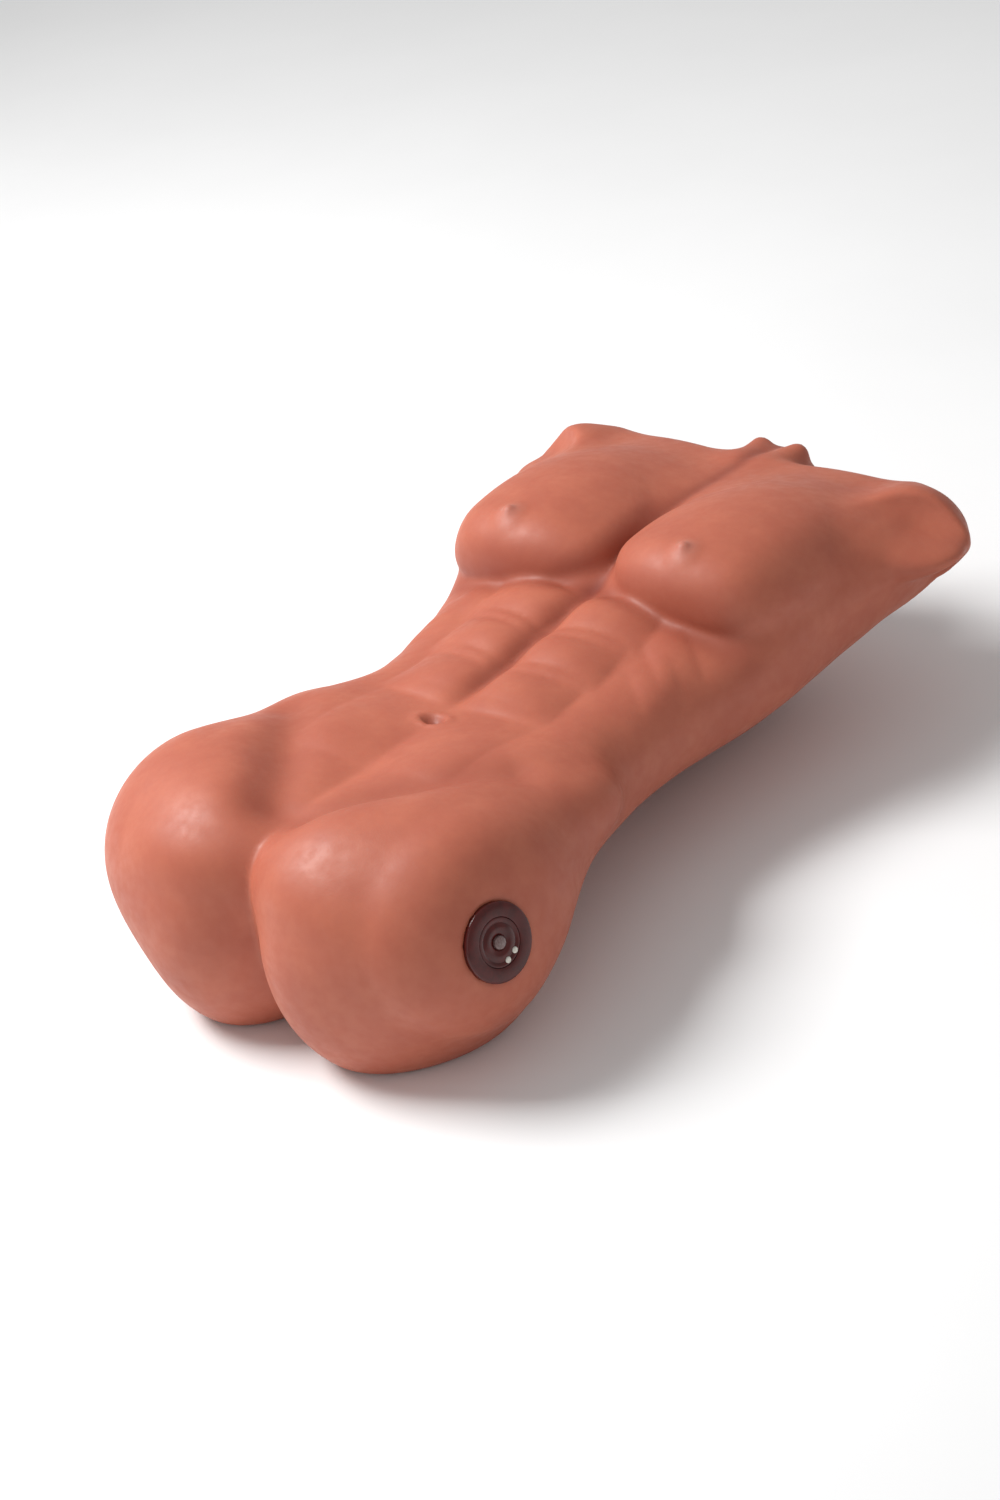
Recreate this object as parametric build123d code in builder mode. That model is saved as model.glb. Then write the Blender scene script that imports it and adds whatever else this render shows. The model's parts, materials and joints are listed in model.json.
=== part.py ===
from build123d import *

import os
from math import copysign, cos, pi, radians, sin, tan

# Soft torso mannequin that lies on its back: an elastomer casting over a foam core on a tube skeleton,
# with a round control fitting let into the left hip.
#
# Millimetres. +X is the mannequin's left, +Y runs from the hips to the neck, +Z is the front of the body.
# The origin is on the surface that it lies on, below the middle of its bounding box.
# The tables give distances along the body from the crotch, and at() turns those into Y.

CROTCH_Y = -274.0

# ---------------------------------------------------------------- driving dimensions

# Trunk sections: distance from the crotch, half width, back, height of the widest line, front.
TRUNK = (
    (-20, 112, 26, 80, 128),
    (40, 156, 10, 84, 144),
    (110, 153, 16, 92, 150),
    (190, 137, 30, 99, 151),
    (270, 134, 34, 100, 158),
    (350, 146, 10, 112, 165),
    (430, 152, -3, 122, 171),
    (500, 162, 14, 132, 174),
    (550, 166, 44, 138, 170),
    (592, 128, 78, 139, 154),
)
SECTION_POINTS = 16
SECTION_POWER = 2.3  # 2 is an ellipse, more is squarer

# Round masses, one a side, each a spheroid: centre, radius along the body, radius across it.
MASSES = (
    ((82, 38, 81), 102, 84),  # buttock and thigh stump
    ((111, 33, 91), 90, 66),  # hip
    ((156, 545, 136), 54, 54),  # shoulder
    ((84, 430, 137), 98, 71),  # chest
)

NECK_RADIUS = 44.0
NECK_Z = 122.0
NECK_FROM, NECK_TO = 540.0, 612.0

# Foam core sections: distance from the crotch, half width, half depth.
CORE = (
    (56, 66, 26),
    (100, 78, 30),
    (262, 78, 30),
    (380, 96, 42),
    (480, 96, 42),
    (548, 92, 32),
)
CORE_CORNER = 18.0
CORE_Z = 100.0
FOAM_GAP = 0.3  # foam and casting to the hard pieces inside them
STRAP_WIDTH, STRAP_THICK = 25.0, 1.2
STRAPS = ((232, 78, 30), (432, 96, 42))  # distance from the crotch, core half width and half depth there

# Tube skeleton, all at the core's height.
SPINE_RADIUS, SPINE_WALL = 13.0, 2.5
SPINE_FROM, SPINE_TO = 92.0, 515.0
BAR_RADIUS, BAR_WALL = 11.0, 2.0
SHOULDER_BAR_AT, SHOULDER_BAR_HALF = 528.0, 84.0
HOOP_AT, HOOP_HALF, HOOP_BEND, HOOP_END = 76.0, 80.0, 30.0, -30.0
CAP_HEAD, CAP_INSERT, CAP_EDGE = 4.0, 10.0, 1.5
TEE_WIDTH, TEE_LENGTH, TEE_DEPTH, TEE_CORNER = 44.0, 56.0, 40.0, 5.0
TEE_OFFSET = 10.0  # block's middle from the bar, towards the spine
TUBE_FIT = 0.05
GRUB_RADIUS, GRUB_SOCKET, GRUB_SOCKET_DEPTH = 3.0, 1.5, 3.0
GRUB_ON_SPINE = 26.0  # from the bar

# Control fitting. Its own frame: z along the way it faces, from the seat; x towards the neck.
FITTING_SEAT = (173.1, 18.4, 107.6)
FITTING_FACES = (0.961, -0.12, 0.246)
FITTING_X_AXIS = (0.12, 0.99, 0.01)
BEZEL_RADIUS, BEZEL_TOP, BEZEL_EDGE = 27.5, 4.5, 2.6
FACE_RADIUS, FACE_BOTTOM, FACE_TOP = 17.0, 1.9, 4.1
LEDGE_RADIUS = 15.0
SPIGOT_OUTER, SPIGOT_INNER = 19.2, 17.6
CUP_RADIUS, CUP_DEPTH, CUP_FLOOR = 21.0, 24.0, 2.0
CUP_UPPER_BORE, CUP_LOWER_BORE = 19.4, 18.7
FLANGE_RADIUS, FLANGE_THICK = 25.0, 2.0
SEAL_INNER, SEAL_OUTER, SEAL_THICK = 21.4, 23.4, 0.9
GUIDE_TOP, GUIDE_THICK = -3.0, 1.2
BUTTON_RADIUS, BUTTON_TOP, BUTTON_EDGE = 4.75, 5.6, 1.2
BUTTON_SHOULDER, BUTTON_SHOULDER_THICK = 6.6, 1.2
BUTTON_TRAVEL = 1.0
STEM_RADIUS, STEM_END = 2.0, -5.4
SLIDING_GAP = 0.2
SPRING_RADIUS, SPRING_WIRE, SPRING_TURNS = 3.3, 0.3, 3
BOARD_RADIUS, BOARD_TOP, BOARD_THICK = 18.4, -11.0, 1.6
SWITCH_SIDE, SWITCH_BODY, SWITCH_PLUNGER = 6.0, 3.5, 1.7
POST_ORBIT, POST_RADIUS = 15.2, 2.9
SCREW_RADIUS, SCREW_HEAD, SCREW_BITE = 1.1, 1.4, 6.0  # bite is the thread's length in the plastic
PILOT_SPARE = 1.0  # pilot hole beyond the screw's tip
POST_ANGLES = (90, 210, 330)
CONTACT_ORBIT, CONTACT_RADIUS, CONTACT_PIN, CONTACT_PROUD = 13.8, 2.3, 0.8, 0.3
CONTACT_ANGLES = (-51, -86)
SOCKET_SIZE = (10.0, 7.0, 5.0)
GLAND_RADIUS, GLAND_LENGTH = 4.0, 5.0
GLAND_HEAD, GLAND_HEAD_THICK = 6.0, 1.2

# Battery box inside the core, beside the spine, and the warming mat on the core's front.
TRAY_X, TRAY_AT, TRAY_Z = 50.0, 330.0, 87.0
TRAY_SIZE = (46.0, 84.0, 26.0)
TRAY_WALL, TRAY_CORNER = 2.0, 3.0
LID_THICK = 2.0
TRAY_SCREW_INSET, TRAY_POST_RADIUS = 4.0, 3.4
CELL_RADIUS, CELL_LENGTH, CELL_FROM = 9.2, 65.0, 9.5
CELL_BOARD = (34.0, 58.0, 1.6)
CABLE_RADIUS, LEAD_RADIUS = 2.0, 1.4
CABLE_X, LEAD_X = 58.0, 38.0
MAT_SIZE, MAT_CORNER = (118.0, 88.0, 1.0), 8.0
MAT_AT = 152.0
MAT_PLUG = (12.0, 10.0, 4.0)

os.makedirs("parts", exist_ok=True)


def save(piece, name):
    """Label a finished piece and write it as its own STEP file."""
    piece.part.label = name
    export_step(piece.part, f"parts/{name}.step")


def at(distance):
    """A distance from the crotch as a Y of the model."""
    return distance + CROTCH_Y


def cross_plane(distance):
    """Plane across the body, with its own axes along X and Z, and its normal towards the feet."""
    return Plane.XZ.offset(-at(distance))


# ---------------------------------------------------------------- outer form of the casting


def section_point(angle, half_width, back, widest, front):
    """A point of one trunk section: a superellipse whose back and front halves differ in depth."""
    depth = front - widest if sin(angle) > 0 else widest - back
    power = 2 / SECTION_POWER
    x = half_width * copysign(abs(cos(angle)) ** power, cos(angle))
    return x, widest + depth * copysign(abs(sin(angle)) ** power, sin(angle))


def mass(centre, along, across, side):
    """One round mass of the body, on the left (side 1) or the right (side -1)."""
    x, y, z = centre
    middle = (side * x, at(y), z)
    with BuildPart() as piece:
        with BuildSketch(Plane(origin=middle, x_dir=(0, 1, 0), z_dir=(0, 0, 1))):
            Ellipse(along, across)
            with Locations((0, -across)):
                Rectangle(2 * along, 2 * across, mode=Mode.SUBTRACT)
        revolve(axis=Axis(middle, (0, 1, 0)))
    return piece.part


masses = [mass(*form, side) for form in MASSES for side in (1, -1)]

with BuildPart() as outer:
    for distance, *profile in TRUNK:
        with BuildSketch(cross_plane(distance)):
            with BuildLine():
                # Half a step off the axes, so that the seam lies on the flank.
                turns = [2 * pi * (i + 0.5) / SECTION_POINTS for i in range(SECTION_POINTS)]
                Spline(*[section_point(turn, *profile) for turn in turns], periodic=True)
            make_face()
    loft()
    for form in masses:
        add(form)
    with BuildSketch(cross_plane(NECK_FROM)):
        with Locations((0, NECK_Z)):
            Circle(NECK_RADIUS)
    extrude(amount=NECK_FROM - NECK_TO)
    # Its own weight presses the back and the buttocks flat.
    split(bisect_by=Plane.XY, keep=Keep.TOP)


# ---------------------------------------------------------------- tube skeleton


def tube(plane, outer_radius, wall, length):
    """A straight tube that starts on a plane and runs along its normal."""
    with BuildPart() as piece:
        with BuildSketch(plane):
            Circle(outer_radius)
            Circle(outer_radius - wall, mode=Mode.SUBTRACT)
        extrude(amount=length)
    return piece


SPINE_PLANE = Plane(origin=(0, at(SPINE_FROM), CORE_Z), z_dir=(0, 1, 0))
SHOULDER_PLANE = Plane(origin=(-SHOULDER_BAR_HALF, at(SHOULDER_BAR_AT), CORE_Z), z_dir=(1, 0, 0))

spine_tube = tube(SPINE_PLANE, SPINE_RADIUS, SPINE_WALL, SPINE_TO - SPINE_FROM)
save(spine_tube, "spine_tube")
shoulder_bar = tube(SHOULDER_PLANE, BAR_RADIUS, BAR_WALL, 2 * SHOULDER_BAR_HALF)
save(shoulder_bar, "shoulder_bar")


def hoop(radius, wall, end):
    """The pelvis bar with both ends bent down into the thigh stumps, solid where wall is None."""
    corners = [
        (-HOOP_HALF, at(end), CORE_Z),
        (-HOOP_HALF, at(HOOP_AT), CORE_Z),
        (HOOP_HALF, at(HOOP_AT), CORE_Z),
        (HOOP_HALF, at(end), CORE_Z),
    ]
    with BuildPart() as piece:
        with BuildLine():
            path = FilletPolyline(*corners, radius=HOOP_BEND)
        with BuildSketch(Plane(origin=path @ 0, z_dir=path % 0)):
            Circle(radius)
            if wall is not None:
                Circle(radius - wall, mode=Mode.SUBTRACT)
        sweep(path=path)
    return piece


pelvis_hoop = hoop(BAR_RADIUS, BAR_WALL, HOOP_END)
save(pelvis_hoop, "pelvis_hoop")


def tee(bar_at, towards_spine):
    """Block that clamps the spine's end to a cross bar, bored through for the bar and blind for the spine."""
    middle = at(bar_at + towards_spine * TEE_OFFSET)
    spine_end = SPINE_TO if towards_spine < 0 else SPINE_FROM
    with BuildPart() as piece:
        with Locations((0, middle, CORE_Z)):
            Box(TEE_WIDTH, TEE_LENGTH, TEE_DEPTH)
        fillet(piece.edges().filter_by(Axis.Z), TEE_CORNER)
        with BuildSketch(Plane.YZ.offset(-TEE_WIDTH / 2)):
            with Locations((at(bar_at), CORE_Z)):
                Circle(BAR_RADIUS + TUBE_FIT)
        extrude(amount=TEE_WIDTH, mode=Mode.SUBTRACT)
        with BuildSketch(Plane(origin=(0, at(spine_end), CORE_Z), z_dir=(0, towards_spine, 0))):
            Circle(SPINE_RADIUS + TUBE_FIT)
        extrude(amount=TEE_LENGTH, mode=Mode.SUBTRACT)
        with BuildSketch(Plane.XY.offset(CORE_Z)):
            with Locations((0, at(bar_at)), (0, at(bar_at + towards_spine * GRUB_ON_SPINE))):
                Circle(GRUB_RADIUS)
        extrude(amount=TEE_DEPTH / 2, mode=Mode.SUBTRACT)
    return piece


shoulder_tee = tee(SHOULDER_BAR_AT, -1)
save(shoulder_tee, "shoulder_tee")
pelvis_tee = tee(HOOP_AT, 1)
save(pelvis_tee, "pelvis_tee")


def grub(distance, tube_radius):
    """Set screw that bears on a tube, with a hexagon socket, flush with the tee's front."""
    start = CORE_Z + tube_radius + TUBE_FIT
    top = CORE_Z + TEE_DEPTH / 2
    with BuildPart() as piece:
        with BuildSketch(Plane.XY.offset(start)):
            with Locations((0, at(distance))):
                Circle(GRUB_RADIUS - TUBE_FIT / 2)
        extrude(amount=top - start)
        with BuildSketch(Plane.XY.offset(top)):
            with Locations((0, at(distance))):
                RegularPolygon(GRUB_SOCKET, 6)
        extrude(amount=-GRUB_SOCKET_DEPTH, mode=Mode.SUBTRACT)
    return piece.part


with BuildPart() as tee_set_screws:
    for bar_at, towards_spine in ((SHOULDER_BAR_AT, -1), (HOOP_AT, 1)):
        add(grub(bar_at, BAR_RADIUS))
        add(grub(bar_at + towards_spine * GRUB_ON_SPINE, SPINE_RADIUS))
save(tee_set_screws, "tee_set_screws")


def end_cap(plane):
    """Plastic plug in a bar's end, on a plane that faces out of the tube."""
    with BuildPart() as piece:
        with BuildSketch(plane):
            Circle(BAR_RADIUS)
        extrude(amount=CAP_HEAD)
        fillet(piece.faces().sort_by(Axis(plane.origin, plane.z_dir))[-1].edges(), CAP_EDGE)
        with BuildSketch(plane):
            Circle(BAR_RADIUS - BAR_WALL - TUBE_FIT)
        extrude(amount=-CAP_INSERT)
    return piece.part


with BuildPart() as shoulder_bar_caps:
    for side in (1, -1):
        bar_end = (side * SHOULDER_BAR_HALF, at(SHOULDER_BAR_AT), CORE_Z)
        add(end_cap(Plane(origin=bar_end, z_dir=(side, 0, 0))))
save(shoulder_bar_caps, "shoulder_bar_caps")

with BuildPart() as pelvis_hoop_caps:
    for side in (1, -1):
        add(end_cap(Plane(origin=(side * HOOP_HALF, at(HOOP_END), CORE_Z), z_dir=(0, -1, 0))))
save(pelvis_hoop_caps, "pelvis_hoop_caps")

# ---------------------------------------------------------------- control fitting in the left hip

fitting_seat = (FITTING_SEAT[0], at(FITTING_SEAT[1]), FITTING_SEAT[2])
fitting = Plane(origin=fitting_seat, x_dir=FITTING_X_AXIS, z_dir=FITTING_FACES)
CUP_INSIDE = CUP_FLOOR - CUP_DEPTH
BOARD_BOTTOM = BOARD_TOP - BOARD_THICK


def on_orbit(orbit, angles):
    """Places on a circle round the fitting's axis."""
    return [(orbit * cos(radians(a)), orbit * sin(radians(a))) for a in angles]


with BuildPart() as control_cup:
    with BuildSketch(fitting.offset(-CUP_DEPTH)):
        Circle(CUP_RADIUS)
    extrude(amount=CUP_DEPTH)
    with BuildSketch(fitting.offset(-FLANGE_THICK)):
        Circle(FLANGE_RADIUS)
    extrude(amount=FLANGE_THICK)
    with BuildSketch(fitting.offset(CUP_INSIDE)):
        Circle(CUP_LOWER_BORE)
    extrude(amount=-CUP_INSIDE, mode=Mode.SUBTRACT)
    with BuildSketch(fitting.offset(GUIDE_TOP - GUIDE_THICK)):
        Circle(CUP_UPPER_BORE)
    extrude(amount=GUIDE_THICK - GUIDE_TOP, mode=Mode.SUBTRACT)
    with BuildSketch(fitting.offset(-SEAL_THICK)):
        Circle(SEAL_OUTER)
        Circle(SEAL_INNER, mode=Mode.SUBTRACT)
    extrude(amount=SEAL_THICK, mode=Mode.SUBTRACT)
    with BuildSketch(fitting.offset(CUP_INSIDE)):
        with Locations(*on_orbit(POST_ORBIT, POST_ANGLES)):
            Circle(POST_RADIUS)
    extrude(amount=BOARD_BOTTOM - CUP_INSIDE)
    with BuildSketch(fitting.offset(BOARD_BOTTOM)):
        with Locations(*on_orbit(POST_ORBIT, POST_ANGLES)):
            Circle(SCREW_RADIUS)
    extrude(amount=-SCREW_BITE - PILOT_SPARE, mode=Mode.SUBTRACT)
    with BuildSketch(fitting.offset(-CUP_DEPTH)):
        Circle(GLAND_RADIUS)
    extrude(amount=CUP_FLOOR, mode=Mode.SUBTRACT)
save(control_cup, "control_cup")

with BuildPart() as seal_ring:
    with BuildSketch(fitting.offset(-SEAL_THICK)):
        Circle(SEAL_OUTER)
        Circle(SEAL_INNER, mode=Mode.SUBTRACT)
    extrude(amount=SEAL_THICK)
save(seal_ring, "seal_ring")

with BuildPart() as control_bezel:
    with BuildSketch(fitting):
        Circle(BEZEL_RADIUS)
    extrude(amount=BEZEL_TOP)
    fillet(control_bezel.faces().sort_by(Axis(fitting.origin, fitting.z_dir))[-1].edges(), BEZEL_EDGE)
    with BuildSketch(fitting.offset(GUIDE_TOP)):
        Circle(SPIGOT_OUTER)
    extrude(amount=-GUIDE_TOP)
    with BuildSketch(fitting.offset(GUIDE_TOP)):
        Circle(LEDGE_RADIUS)
    extrude(amount=BEZEL_TOP - GUIDE_TOP, mode=Mode.SUBTRACT)
    with BuildSketch(fitting.offset(GUIDE_TOP)):
        Circle(SPIGOT_INNER)
    extrude(amount=-GUIDE_TOP, mode=Mode.SUBTRACT)
    with BuildSketch(fitting.offset(FACE_BOTTOM)):
        Circle(FACE_RADIUS + TUBE_FIT)
    extrude(amount=BEZEL_TOP - FACE_BOTTOM, mode=Mode.SUBTRACT)
save(control_bezel, "control_bezel")

with BuildPart() as control_face:
    with BuildSketch(fitting.offset(FACE_BOTTOM)):
        Circle(FACE_RADIUS)
        Circle(BUTTON_RADIUS + SLIDING_GAP, mode=Mode.SUBTRACT)
        with Locations(*on_orbit(CONTACT_ORBIT, CONTACT_ANGLES)):
            Circle(CONTACT_PIN, mode=Mode.SUBTRACT)
    extrude(amount=FACE_TOP - FACE_BOTTOM)
    with BuildSketch(fitting.offset((FACE_TOP + FACE_BOTTOM) / 2)):
        with Locations(*on_orbit(CONTACT_ORBIT, CONTACT_ANGLES)):
            Circle(CONTACT_RADIUS)
    extrude(amount=FACE_TOP - FACE_BOTTOM, mode=Mode.SUBTRACT)
save(control_face, "control_face")

with BuildPart() as charge_contacts:
    with BuildSketch(fitting.offset(BOARD_BOTTOM)):
        with Locations(*on_orbit(CONTACT_ORBIT, CONTACT_ANGLES)):
            Circle(CONTACT_PIN)
    extrude(amount=(FACE_TOP + FACE_BOTTOM) / 2 - BOARD_BOTTOM)
    with BuildSketch(fitting.offset((FACE_TOP + FACE_BOTTOM) / 2)):
        with Locations(*on_orbit(CONTACT_ORBIT, CONTACT_ANGLES)):
            Circle(CONTACT_RADIUS)
    extrude(amount=(FACE_TOP - FACE_BOTTOM) / 2 + CONTACT_PROUD)
save(charge_contacts, "charge_contacts")

with BuildPart() as button_guide:
    with BuildSketch(fitting.offset(GUIDE_TOP - GUIDE_THICK)):
        Circle(SPIGOT_OUTER)
        Circle(STEM_RADIUS + SLIDING_GAP, mode=Mode.SUBTRACT)
        with Locations(*on_orbit(CONTACT_ORBIT, CONTACT_ANGLES)):
            Circle(CONTACT_PIN, mode=Mode.SUBTRACT)
    extrude(amount=GUIDE_THICK)
save(button_guide, "button_guide")

SHOULDER_TOP = FACE_BOTTOM - SLIDING_GAP / 2
SHOULDER_BOTTOM = SHOULDER_TOP - BUTTON_SHOULDER_THICK

with BuildPart() as push_button:
    with BuildSketch(fitting.offset(SHOULDER_BOTTOM)):
        Circle(BUTTON_SHOULDER)
    extrude(amount=SHOULDER_TOP - SHOULDER_BOTTOM)
    with BuildSketch(fitting.offset(SHOULDER_BOTTOM)):
        Circle(BUTTON_RADIUS)
    extrude(amount=BUTTON_TOP - SHOULDER_BOTTOM)
    fillet(push_button.faces().sort_by(Axis(fitting.origin, fitting.z_dir))[-1].edges(), BUTTON_EDGE)
    with BuildSketch(fitting.offset(STEM_END)):
        Circle(STEM_RADIUS)
    extrude(amount=SHOULDER_BOTTOM - STEM_END)
save(push_button, "push_button")

SPRING_SPACE = SHOULDER_BOTTOM - GUIDE_TOP - 2 * SPRING_WIRE - 2 * TUBE_FIT
spring_start = fitting.origin + fitting.z_dir * (GUIDE_TOP + SPRING_WIRE + TUBE_FIT)

with BuildPart() as button_spring:
    with BuildLine():
        coil = Helix(
            SPRING_SPACE / SPRING_TURNS,
            SPRING_SPACE,
            SPRING_RADIUS,
            center=spring_start,
            direction=fitting.z_dir,
        )
    with BuildSketch(Plane(origin=coil @ 0, z_dir=coil % 0)):
        Circle(SPRING_WIRE)
    sweep(path=coil, is_frenet=True)
save(button_spring, "button_spring")

with BuildPart() as circuit_board:
    with BuildSketch(fitting.offset(BOARD_BOTTOM)):
        Circle(BOARD_RADIUS)
        with Locations(*on_orbit(POST_ORBIT, POST_ANGLES)):
            Circle(SCREW_RADIUS, mode=Mode.SUBTRACT)
        with Locations(*on_orbit(CONTACT_ORBIT, CONTACT_ANGLES)):
            Circle(CONTACT_PIN, mode=Mode.SUBTRACT)
    extrude(amount=BOARD_THICK)
save(circuit_board, "circuit_board")

with BuildPart() as board_screws:
    with BuildSketch(fitting.offset(BOARD_TOP)):
        with Locations(*on_orbit(POST_ORBIT, POST_ANGLES)):
            Circle(2 * SCREW_RADIUS)
    extrude(amount=SCREW_HEAD)
    with BuildSketch(fitting.offset(BOARD_TOP)):
        with Locations(*on_orbit(POST_ORBIT, POST_ANGLES)):
            Circle(SCREW_RADIUS)
    extrude(amount=-BOARD_THICK - SCREW_BITE)
save(board_screws, "board_screws")

with BuildPart() as tact_switch:
    with BuildSketch(fitting.offset(BOARD_TOP)):
        Rectangle(SWITCH_SIDE, SWITCH_SIDE)
    extrude(amount=SWITCH_BODY)
    with BuildSketch(fitting.offset(BOARD_TOP + SWITCH_BODY)):
        Circle(SWITCH_PLUNGER)
    extrude(amount=STEM_END - BUTTON_TRAVEL - SLIDING_GAP / 2 - BOARD_TOP - SWITCH_BODY)
save(tact_switch, "tact_switch")

with BuildPart() as board_socket:
    with BuildSketch(fitting.offset(BOARD_BOTTOM)):
        Rectangle(SOCKET_SIZE[0], SOCKET_SIZE[1])
    extrude(amount=-SOCKET_SIZE[2])
save(board_socket, "board_socket")

with BuildPart() as cable_gland:
    with BuildSketch(fitting.offset(CUP_INSIDE)):
        Circle(GLAND_HEAD)
    extrude(amount=GLAND_HEAD_THICK)
    with BuildSketch(fitting.offset(CUP_INSIDE)):
        Circle(GLAND_RADIUS)
    extrude(amount=-GLAND_LENGTH)
    with BuildSketch(fitting.offset(CUP_INSIDE + GLAND_HEAD_THICK)):
        Circle(CABLE_RADIUS)
    extrude(amount=-GLAND_LENGTH - GLAND_HEAD_THICK, mode=Mode.SUBTRACT)
save(cable_gland, "cable_gland")

# ---------------------------------------------------------------- battery box and its lead

tray_middle = (TRAY_X, at(TRAY_AT))
tray_low_end = at(TRAY_AT) - TRAY_SIZE[1] / 2
cell_z = TRAY_Z + TRAY_WALL + CELL_RADIUS
wire_z = TRAY_Z + TRAY_SIZE[2] / 2
tray_corners = [
    (
        TRAY_X + i * (TRAY_SIZE[0] / 2 - TRAY_SCREW_INSET),
        at(TRAY_AT) + j * (TRAY_SIZE[1] / 2 - TRAY_SCREW_INSET),
    )
    for i in (-1, 1)
    for j in (-1, 1)
]

with BuildPart() as battery_tray:
    with BuildSketch(Plane.XY.offset(TRAY_Z)):
        with Locations(tray_middle):
            RectangleRounded(TRAY_SIZE[0], TRAY_SIZE[1], TRAY_CORNER)
    extrude(amount=TRAY_SIZE[2])
    with BuildSketch(Plane.XY.offset(TRAY_Z + TRAY_WALL)):
        with Locations(tray_middle):
            Rectangle(TRAY_SIZE[0] - 2 * TRAY_WALL, TRAY_SIZE[1] - 2 * TRAY_WALL)
        with Locations(*tray_corners):
            Circle(TRAY_POST_RADIUS, mode=Mode.SUBTRACT)
    extrude(amount=TRAY_SIZE[2], mode=Mode.SUBTRACT)
    with BuildSketch(Plane.XY.offset(TRAY_Z + TRAY_SIZE[2])):
        with Locations(*tray_corners):
            Circle(SCREW_RADIUS)
    extrude(amount=-SCREW_BITE - PILOT_SPARE, mode=Mode.SUBTRACT)
    with BuildSketch(Plane(origin=(0, tray_low_end, wire_z), x_dir=(1, 0, 0), z_dir=(0, -1, 0))):
        with Locations((CABLE_X, 0)):
            Circle(CABLE_RADIUS)
        with Locations((LEAD_X, 0)):
            Circle(LEAD_RADIUS)
    extrude(amount=-TRAY_WALL, mode=Mode.SUBTRACT)
save(battery_tray, "battery_tray")

with BuildPart() as battery_lid:
    with BuildSketch(Plane.XY.offset(TRAY_Z + TRAY_SIZE[2])):
        with Locations(tray_middle):
            RectangleRounded(TRAY_SIZE[0], TRAY_SIZE[1], TRAY_CORNER)
        with Locations(*tray_corners):
            Circle(SCREW_RADIUS, mode=Mode.SUBTRACT)
    extrude(amount=LID_THICK)
save(battery_lid, "battery_lid")

with BuildPart() as battery_lid_screws:
    with BuildSketch(Plane.XY.offset(TRAY_Z + TRAY_SIZE[2] + LID_THICK)):
        with Locations(*tray_corners):
            Circle(2 * SCREW_RADIUS)
    extrude(amount=SCREW_HEAD)
    with BuildSketch(Plane.XY.offset(TRAY_Z + TRAY_SIZE[2] + LID_THICK)):
        with Locations(*tray_corners):
            Circle(SCREW_RADIUS)
    extrude(amount=-LID_THICK - SCREW_BITE)
save(battery_lid_screws, "battery_lid_screws")

with BuildPart() as battery_cells:
    # Between the tray's corner posts.
    cell_ends = Plane(origin=(TRAY_X, tray_low_end + CELL_FROM, cell_z), x_dir=(1, 0, 0), z_dir=(0, 1, 0))
    with BuildSketch(cell_ends):
        with Locations((-CELL_RADIUS, 0), (CELL_RADIUS, 0)):
            Circle(CELL_RADIUS - TUBE_FIT)
    extrude(amount=CELL_LENGTH)
save(battery_cells, "battery_cells")

with BuildPart() as battery_board:
    with BuildSketch(Plane.XY.offset(cell_z + CELL_RADIUS)):
        with Locations(tray_middle):
            Rectangle(CELL_BOARD[0], CELL_BOARD[1])
    extrude(amount=CELL_BOARD[2])
save(battery_board, "battery_board")

# ---------------------------------------------------------------- warming mat and the two wires


def wire(route, radius, report):
    """A wire of straight runs joined by tangent arcs, each as large as its two runs allow."""
    points = [Vector(*place) for place in route]
    runs = [b - a for a, b in zip(points, points[1:])]
    bends = []
    for before, after in zip(runs, runs[1:]):
        shorter = min(before.length, after.length)
        bends.append(0.45 * shorter / tan(radians(before.get_angle(after)) / 2))
    if report:
        print(report, "bend radii", [round(bend) for bend in bends])
    with BuildPart() as piece:
        with BuildLine():
            path = FilletPolyline(*points, radius=bends)
        with BuildSketch(Plane(origin=path @ 0, z_dir=path % 0)):
            Circle(radius)
        sweep(path=path)
    return piece


def in_fitting(depth):
    """A point on the fitting's axis, at a depth below its seat."""
    return fitting.origin - fitting.z_dir * depth


mat_z = CORE_Z + CORE[1][2]
mat_end = at(MAT_AT) + MAT_SIZE[1] / 2

BATTERY_ROUTE = (
    in_fitting(-BOARD_BOTTOM + SOCKET_SIZE[2]),
    in_fitting(46),
    (109, at(92), 85),
    (86, at(150), 87),
    (66, at(206), 95),
    (CABLE_X, at(250), wire_z),
    (CABLE_X, tray_low_end + TRAY_WALL, wire_z),
)
MAT_ROUTE = (
    (LEAD_X, mat_end, mat_z - MAT_PLUG[2] / 2),
    (LEAD_X, at(214), mat_z - MAT_PLUG[2] / 2),
    (LEAD_X + 2, at(240), 114),
    (LEAD_X, at(266), wire_z),
    (LEAD_X, tray_low_end + TRAY_WALL, wire_z),
)

battery_cable = wire(BATTERY_ROUTE, CABLE_RADIUS, "battery cable")
save(battery_cable, "battery_cable")
heating_mat_lead = wire(MAT_ROUTE, LEAD_RADIUS, "mat lead")
save(heating_mat_lead, "heating_mat_lead")

with BuildPart() as heating_mat:
    with BuildSketch(Plane.XY.offset(mat_z)):
        with Locations((0, at(MAT_AT))):
            RectangleRounded(MAT_SIZE[0], MAT_SIZE[1], MAT_CORNER)
    extrude(amount=MAT_SIZE[2])
save(heating_mat, "heating_mat")

with BuildPart() as heating_mat_plug:
    with BuildSketch(Plane.XY.offset(mat_z)):
        with Locations((LEAD_X, mat_end - MAT_PLUG[1] / 2)):
            Rectangle(MAT_PLUG[0], MAT_PLUG[1])
    extrude(amount=-MAT_PLUG[2])
save(heating_mat_plug, "heating_mat_plug")

# ---------------------------------------------------------------- foam core, its bands and the casting


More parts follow.
